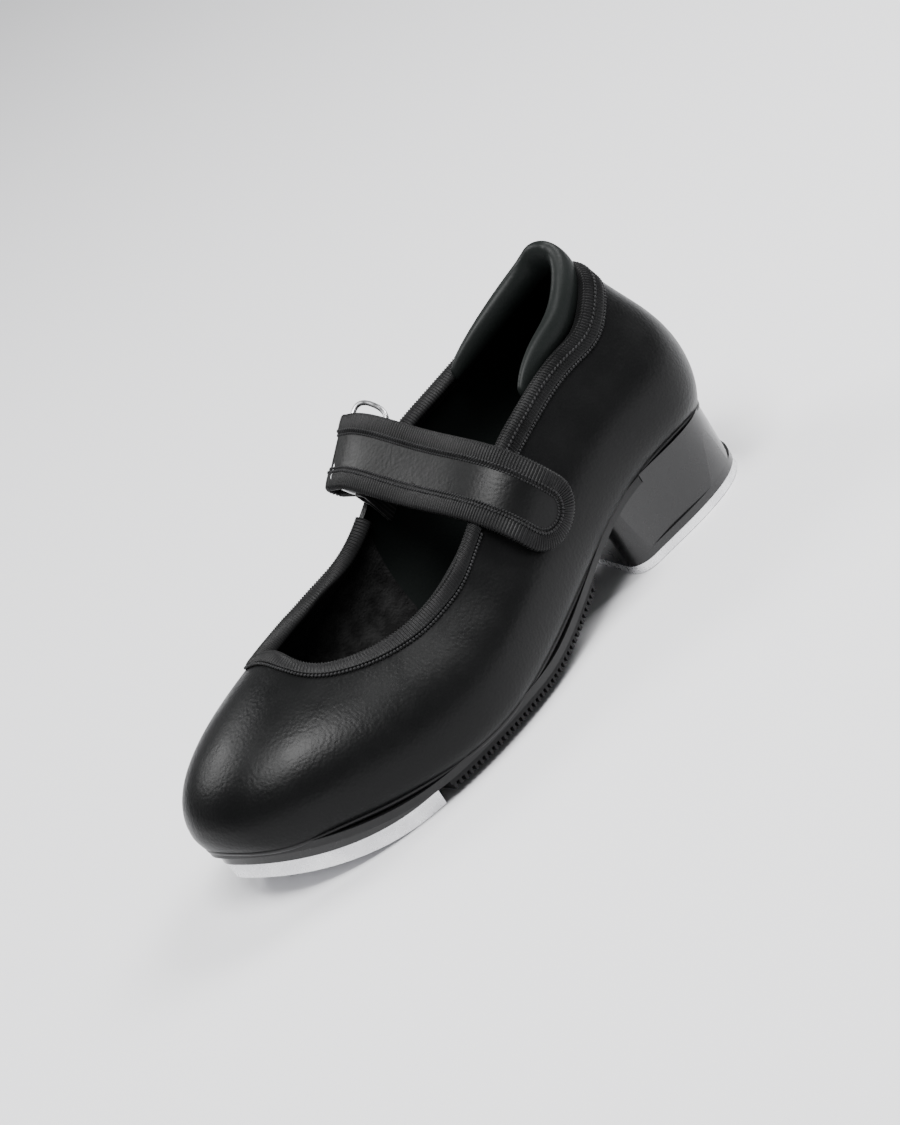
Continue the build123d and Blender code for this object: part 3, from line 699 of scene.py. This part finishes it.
def add_fold(top):
    """The turn round the ring's free bar and the short return under it, ahead of the top layer."""
    radius = FOLD_RADIUS
    start = top["at"][0]
    arm = top["out"][0] - ACROSS * np.dot(top["out"][0], ACROSS)
    arm = arm / np.linalg.norm(arm)
    centre = start - arm * radius
    turn_way = unit(np.cross(ACROSS, arm))
    turn_way = turn_way if turn_way[1] > 0 else -turn_way
    s, at, out = [], [], []
    for k in range(1, 25):
        angle = math.pi * k / 24
        direction = math.cos(angle) * arm + math.sin(angle) * turn_way
        s.append(-radius * angle)
        at.append(centre + radius * direction)
        out.append(direction)
    for k in range(1, 9):
        s.append(s[-1] - 0.9 * MM)
        at.append(at[-1] - turn_way * 0.9 * MM)
        out.append(out[-1])
    count = len(s)
    across = np.repeat(top["across"][:1], count, axis=0)
    return {"s": np.concatenate([s[::-1], top["s"]]), "at": np.vstack([at[::-1], top["at"]]),
            "across": np.vstack([across, top["across"]]), "out": np.vstack([out[::-1], top["out"]])}


STRAP = strap_frames()
STRAP_END = STRAP["s"][-1]
STRAP_START = STRAP["s"][0]


def strap_place(s, a, b):
    """A place on the strap: s along it, a across it (rearward), b out of its middle surface."""
    s, a, b = np.broadcast_arrays(np.asarray(s, float), a, b)
    parts = []
    for key in ("at", "across", "out"):
        parts.append(np.stack([np.interp(s, STRAP["s"], STRAP[key][:, k]) for k in range(3)], axis=-1))
    return parts[0] + unit(parts[1]) * a[..., None] + unit(parts[2]) * b[..., None]


def strap_outline(inset):
    """The strap's edge as rows of (s, a, outward s, outward a), and the distance along it."""
    radius = STRAP_HALF - inset
    centre = STRAP_END - STRAP_HALF
    rows = [(s, radius, 0.0, 1.0) for s in np.arange(STRAP_START, centre, 0.2 * MM)]
    for k in range(1, 90):
        angle = math.pi / 2 - math.pi * k / 90
        out_s, out_a = math.cos(angle), math.sin(angle)
        rows.append((centre + radius * out_s, radius * out_a, out_s, out_a))
    rows += [(s, -radius, 0.0, -1.0) for s in np.arange(centre, STRAP_START, -0.2 * MM)]
    rows = np.array(rows)
    step = np.hypot(np.diff(rows[:, 0]), np.diff(rows[:, 1]))
    return rows, np.concatenate([[0], np.cumsum(step)])


def strap_tape():
    rows, along = strap_outline(0.5 * MM)

    def place(q, a, b):
        s, edge, out_s, out_a = (np.interp(q, along, rows[:, k]) for k in range(4))
        return strap_place(s + a * out_s, edge + a * out_a, b)

    depth = 5.0 * MM
    high = HALF_THICK
    profile = [(-depth, 0.55 * MM, 0.2)]
    for k in range(10):
        t = k / 9
        crown = high * (0.72 + 0.26 * math.sin(math.pi * (0.1 + 0.75 * t)))
        profile.append((-depth * (1 - t) + 0.1 * MM, crown, 1.0))
    for k in range(1, 8):
        angle = math.pi * k / 8
        profile.append((0.1 * MM + 0.5 * MM * math.sin(angle), 0.8 * high * math.cos(angle), 1.0))
    for k in range(5):
        profile.append((-depth * k / 4, -0.85 * high, 0.7 if k < 4 else 0.0))
    profile.append((-depth, -0.5 * MM, 0.0))
    piece = tape("strap_tape", place, along[-1], profile, RIBBON, "strap", True)
    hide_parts("strap_binding", "strap_fold")
    rows_of_stitches = [(4.5, 1.12, 0.95, 0.4), (5.6, 0.84, 0.85, 0.36)]
    for row, (inset, height, pitch, radius) in enumerate(rows_of_stitches):
        edge, _ = strap_outline(inset * MM)
        line = {"at": strap_place(edge[:, 0], edge[:, 1], height * MM)}
        line["out"] = unit(strap_place(edge[:, 0], edge[:, 1], height * MM + MM) - line["at"])
        thread = beads(f"strap_stitches_{row}", line, pitch * MM, radius * MM, THREAD, "strap")
    return piece


def strap_skin():
    """The leather between the bindings, slightly crowned, with its underside."""
    centre = STRAP_END - STRAP_HALF
    s = np.arange(STRAP_START + 0.1 * MM, STRAP_END - 1.5 * MM, 0.5 * MM)
    reach = STRAP_HALF - 1.5 * MM
    past = np.clip(s - centre, 0, reach)
    half = np.sqrt(np.maximum(reach**2 - past**2, (0.3 * MM) ** 2))
    across = np.linspace(-1, 1, 25)
    top = [strap_place(s, half * t, 0.45 * MM + 0.35 * MM * (1 - t**4)) for t in across]
    under = [strap_place(s, half * t, -0.5 * MM) for t in across[::-1]]
    grid = np.stack(top + under, axis=1)
    piece = grid_object("strap_skin", grid, False, True, STRAP_LEATHER, "strap", caps=True)
    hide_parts("strap_panel")
    return piece


def strap_base_layer():
    """The strap's lower layer, from the outer topline to just short of the fold, bound like the top."""
    low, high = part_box("strap_base")
    y = STRAP["at"][:, 1]
    top = STRAP["s"] > 0
    start = float(STRAP["s"][top][np.argmin(np.abs(y[top] - (high.y - 0.5 * MM)))])
    end = float(STRAP["s"][top][np.argmin(np.abs(y[top] - (low.y + 0.3 * MM)))])
    drop = -2.45 * MM
    half = STRAP_HALF - 0.9 * MM
    s = np.linspace(start, end, 60)
    across = np.linspace(-1, 1, 17)
    top_face = [strap_place(s, (half - 2 * MM) * t, drop + 0.35 * MM) for t in across]
    under = [strap_place(s, (half - 2 * MM) * t, drop - 0.45 * MM) for t in across[::-1]]
    grid = np.stack(top_face + under, axis=1)
    skin = grid_object("base_skin", grid, False, True, STRAP_LEATHER, "shoe", caps=True)
    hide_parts("strap_base")
    for side in (-1, 1):
        def place(q, a, b, side=side):
            return strap_place(start + q, side * (half - a), drop + b)
        profile = [(4.0 * MM, 0.3 * MM, 0.2), (3.4 * MM, 0.72 * MM, 1.0), (1.5 * MM, 0.82 * MM, 1.0),
                   (0.3 * MM, 0.62 * MM, 1.0), (0, 0, 1.0), (0.3 * MM, -0.62 * MM, 1.0),
                   (1.5 * MM, -0.8 * MM, 1.0), (3.6 * MM, -0.75 * MM, 0.6), (4.0 * MM, -0.4 * MM, 0.0)]
        if side > 0:
            profile = profile[::-1]
        edge = tape(f"base_tape_{side + 1}", place, end - start, profile, RIBBON, "shoe", True,
                    height=0.14 * MM)
        line = {"at": strap_place(s, side * (half - 4.3 * MM) + 0 * s, drop + 0.5 * MM)}
        line["out"] = unit(strap_place(s, side * (half - 4.3 * MM) + 0 * s, drop + 1.5 * MM) - line["at"])
        beads(f"base_stitches_{side + 1}", line, 0.95 * MM, 0.3 * MM, THREAD, "shoe")
    return skin


def ring_loop():
    """The tape loop that holds the ring: down the inside of the wall, ribbed along its length."""
    bar = BAR + TAB_BAR + ACROSS * 1.6 * MM
    inward = np.array([0, -1.0, 0])
    up = unit(np.cross(ACROSS, inward))
    up = up * np.sign(up[2])
    path = [(1.5, -10.0), (1.55, -6.0), (1.55, -3.0), (1.5, 0.0)]
    path += [(1.5 * math.cos(math.pi * k / 10), 1.5 * math.sin(math.pi * k / 10)) for k in range(1, 10)]
    path += [(-1.5, 0.0), (-1.2, -1.6), (0.1, -3.2), (0.6, -6.0), (0.55, -10.0)]
    path = np.array(path) * MM
    fine = resample(np.column_stack([path, 0 * path[:, :1]]), 60)
    way = unit(np.gradient(fine, axis=0))
    side = np.stack([way[:, 1], -way[:, 0]], axis=-1)
    half = 9.6 * MM
    across = np.arange(-half, half, RIB / 6)
    lift = (np.abs(np.sin(math.pi * across / RIB)) ** 0.7 - 0.6) * 0.15 * MM
    sheets = []
    for face in (1, -1):
        rows = []
        for k in range(60):
            flare = 1 + 0.25 * max(0.0, -fine[k, 1] / (10 * MM))
            offset = fine[k, None, :2] - side[k] * face * (0.42 * MM + lift[:, None])
            wide = ACROSS * (across * flare)[:, None]
            rows.append(bar + wide + inward * offset[:, :1] + up * offset[:, 1:])
        sheets.append(np.stack(rows, axis=0))
    grid = np.concatenate([sheets[0], sheets[1][:, ::-1]], axis=1)
    piece = grid_object("ring_loop", grid, False, True, RIBBON, "shoe", caps=True)
    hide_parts("ring_tab")
    return piece


def ring_wire():
    """The oval wire ring: one bar in the strap's turn, the other in the tape loop."""
    half = np.linalg.norm(TAB_BAR) / 2
    over = -TAB_BAR / (2 * half)
    middle = BAR + TAB_BAR / 2
    path = []
    for end, corner in ((12.6, 3.9), (-5.6, 1.8)):
        for k in range(25):
            angle = math.pi * (0.5 - k / 24) * (1 if end > 0 else -1)
            bend = math.copysign(abs(math.cos(angle)) ** 0.8, end) * corner
            flat = math.copysign(abs(math.sin(angle)) ** 0.8, math.sin(angle)) * half
            path.append(middle + ACROSS * (end * MM + bend * MM) + over * flat)
    path = resample(np.array(path + path[:1]), 161)[:-1]
    way = unit(np.roll(path, -1, axis=0) - np.roll(path, 1, axis=0))
    face = np.cross(ACROSS, over)
    side = np.cross(way, face)
    rows = []
    for k in range(12):
        angle = math.tau * k / 12
        rows.append(path + 0.74 * MM * (math.cos(angle) * side + math.sin(angle) * face))
    piece = grid_object("ring_wire", np.stack(rows, axis=1), True, True, RING_METAL, "shoe")
    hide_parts("strap_ring")
    return piece


# ---------------------------------------------------------------- soft pieces
def inflate(piece, pressure, cap):
    """Lets the piece swell under pressure as cloth, and keeps each point within cap of its start."""
    rest = np.array([v.co[:] for v in piece.data.vertices])
    cloth = piece.modifiers.new("swell", "CLOTH")
    cloth.settings.quality = 6
    cloth.settings.mass = 0.2
    cloth.settings.tension_stiffness = 12
    cloth.settings.compression_stiffness = 6
    cloth.settings.bending_stiffness = 0.4
    cloth.settings.use_pressure = True
    cloth.settings.uniform_pressure_force = pressure
    cloth.settings.effector_weights.gravity = 0
    scene = bpy.context.scene
    scene.frame_start, scene.frame_end = 1, 20
    for number in range(1, 21):
        scene.frame_set(number)
    shape = piece.evaluated_get(bpy.context.evaluated_depsgraph_get()).to_mesh()
    moved = np.array([v.co[:] for v in shape.vertices])
    piece.modifiers.remove(cloth)
    scene.frame_set(1)
    shift = moved - rest
    size = np.linalg.norm(shift, axis=1, keepdims=True)
    shift *= np.minimum(1.0, cap / np.maximum(size, 1e-9))
    piece.data.vertices.foreach_set("co", (rest + shift).ravel())
    piece.data.update()


def collar_roll():
    """The padded edge inside and above the collar binding, tapering forward on both sides."""
    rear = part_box("collar_pad")[1].x
    first = column_at_x(rear - ROLL_OUTER, -1)
    last = AROUND + column_at_x(rear - ROLL_INNER, +1)
    columns, _ = topline_steps(first, last, 1.0 * MM)
    count = len(columns)
    t = np.linspace(0, 1, count)
    swell = np.sin(math.pi * np.clip(t, 0.004, 0.996)) ** 0.5
    half_thick = (0.8 + 2.0 * swell) * MM
    half_tall = (1.4 + 4.0 * swell) * MM
    rise = (-1.6 + 5.0 * swell) * MM
    top = wall_place(columns, 0.0, 0.0)
    normal = wall_place(columns, 0.0, MM) - top
    normal[:, 2] = 0
    spine = top - unit(normal) * (0.75 * WALL + 0.5 * MM + half_thick)[:, None]
    for _ in range(26):
        spine[1:-1] = (spine[:-2] + 2 * spine[1:-1] + spine[2:]) / 4
    spine[:, 0] += 4.0 * MM * np.exp(-(((t - 0.5) / 0.16) ** 2))
    along = np.gradient(spine, axis=0)
    along[:, 2] = 0
    outward = unit(np.stack([along[:, 1], -along[:, 0], 0 * t], axis=-1))
    outward = outward * np.sign(np.sum(outward * normal, axis=1, keepdims=True))
    lean = 0.12 * swell
    rings = []
    for side in range(28):
        angle = math.tau * side / 28
        round_out = math.copysign(abs(math.cos(angle)) ** 0.85, math.cos(angle))
        height = rise + half_tall * math.sin(angle)
        out = half_thick * round_out - lean * np.maximum(height, 0)
        rings.append(spine + outward * out[:, None] + np.array([0, 0, 1.0]) * height[:, None])
    grid = np.stack(rings, axis=1)
    piece = grid_object("collar_roll", grid, False, True, SOFT_LINING, None, caps=True)
    inflate(piece, 4.0, 0.5 * MM)
    smoother = piece.modifiers.new("round", "SUBSURF")
    smoother.levels = 1
    smoother.render_levels = 1
    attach(piece, "shoe")
    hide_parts("collar_pad")
    return piece


def sock_sheet():
    """The brushed insole, dished up a little where it meets the wall."""
    low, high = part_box("sock")
    u = np.arange(AROUND)
    ring = wall_place(u, LENGTHS - 5.2 * MM, -WALL - 0.2 * MM)
    centre_x = np.interp(ring[:, 0], [low.x, high.x], [low.x + 0.028, high.x - 0.016])
    middle = np.stack([centre_x, 0 * ring[:, 1] + 0.003, ring[:, 2]], axis=-1)
    rows = []
    for k in range(26):
        t = k / 25
        row = middle + (ring - middle) * t
        row[:, 2] = np.interp(row[:, 0], *height_line(ring)) + 0.9 * MM * t**8
        row[:, 2] += np.array([random.uniform(-1, 1) for _ in u]) * 0.06 * MM
        rows.append(row)
    piece = grid_object("sock_sheet", np.stack(rows, axis=0), False, True, BRUSHED, "shoe")
    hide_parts("sock")
    return piece


def height_line(ring):
    """Height of the insole against x, as the mean of both sides."""
    x = np.linspace(ring[:, 0].min(), ring[:, 0].max(), 30)
    outer = ring[ring[:, 1] < 0]
    inner = ring[ring[:, 1] >= 0]
    outer = outer[np.argsort(outer[:, 0])]
    inner = inner[np.argsort(inner[:, 0])]
    z = (np.interp(x, outer[:, 0], outer[:, 2]) + np.interp(x, inner[:, 0], inner[:, 2])) / 2
    return x, z


# ---------------------------------------------------------------- stage, light, camera
def stage():
    material = new_material("stage_floor", (0.74, 0.74, 0.755), 0.9)[0]
    bpy.ops.mesh.primitive_plane_add(size=6, location=(0, 0, -0.0002))
    floor = bpy.context.active_object
    floor.name = "stage_floor"
    floor.data.materials.append(material)


def area_light(name, at, aim, size, power):
    data = bpy.data.lights.new(name, "AREA")
    data.shape = "RECTANGLE"
    data.size, data.size_y = size
    data.energy = power
    light = bpy.data.objects.new(name, data)
    bpy.context.scene.collection.objects.link(light)
    light.location = at
    light.rotation_euler = (Vector(aim) - Vector(at)).to_track_quat("-Z", "Y").to_euler()
    return light


def lights():
    world = bpy.data.worlds.new("studio")
    bpy.context.scene.world = world
    world.use_nodes = True
    world.node_tree.nodes["Background"].inputs["Color"].default_value = (0.95, 0.96, 0.98, 1)
    world.node_tree.nodes["Background"].inputs["Strength"].default_value = 0.3
    area_light("overhead", (-0.25, -0.35, 1.1), (-0.02, 0, 0.04), (0.7, 0.5), 28)
    area_light("behind", (0.75, -0.15, 0.75), (0.04, 0, 0.05), (0.45, 0.45), 13)
    area_light("far_side", (-0.25, 0.75, 0.8), (0.01, 0.02, 0.06), (0.5, 0.35), 7)


def camera():
    """Seen from the toe's outer side, rolled so that the toe points down to the left."""
    azimuth, elevation, roll = math.radians(29.8), math.radians(21.5), math.radians(32.75)
    distance = 1.1
    back = Vector((-math.sin(azimuth) * math.cos(elevation), -math.cos(azimuth) * math.cos(elevation),
                   math.sin(elevation)))
    level = Vector((math.cos(azimuth), -math.sin(azimuth), 0))
    upright = back.cross(level)
    right = math.cos(roll) * level - math.sin(roll) * upright
    up = math.sin(roll) * level + math.cos(roll) * upright
    aim = Vector((0.0005, 0.0016, 0.045)) + 0.00957 * right - 0.00739 * up
    data = bpy.data.cameras.new("camera")
    data.lens = 135.7
    data.dof.use_dof = False
    eye = bpy.data.objects.new("camera", data)
    bpy.context.scene.collection.objects.link(eye)
    matrix = Matrix.Identity(4)
    for row in range(3):
        matrix[row][0], matrix[row][1], matrix[row][2] = right[row], up[row], back[row]
        matrix[row][3] = (aim + back * distance)[row]
    eye.matrix_world = matrix
    bpy.context.scene.camera = eye


upper_skin()
welt()
VAMP_START, VAMP_END = TAB_FRONT, BREAK_OUTER
lining_part("vamp_inside", VAMP_START, VAMP_END, BRUSHED, "vamp_lining", 0.05 * MM)
lining_part("quarter_inside", VAMP_END, AROUND + VAMP_START, SOFT_LINING, "quarter_lining",
            0.0)
topline_trim()
strap_tape()
strap_skin()
strap_base_layer()
ring_loop()
ring_wire()
collar_roll()
sock_sheet()
repaint("midsole", SOLE_EDGE)
for node in ("tap_spacer", "heel_block", "heel_top_lift"):
    repaint(node, GLOSS)
for node in ("toe_tap", "heel_tap"):
    repaint(node, METAL)
for node in ("toe_tap_screws", "heel_tap_screws", "heel_nails", "shank"):
    repaint(node, STEEL)
repaint("forepart_rubber", RUBBER)
for node in ("insole_foam", "insole_board", "toe_puff", "heel_counter", "hook_patch", "loop_patch"):
    repaint(node, BRUSHED)
stage()
lights()
camera()
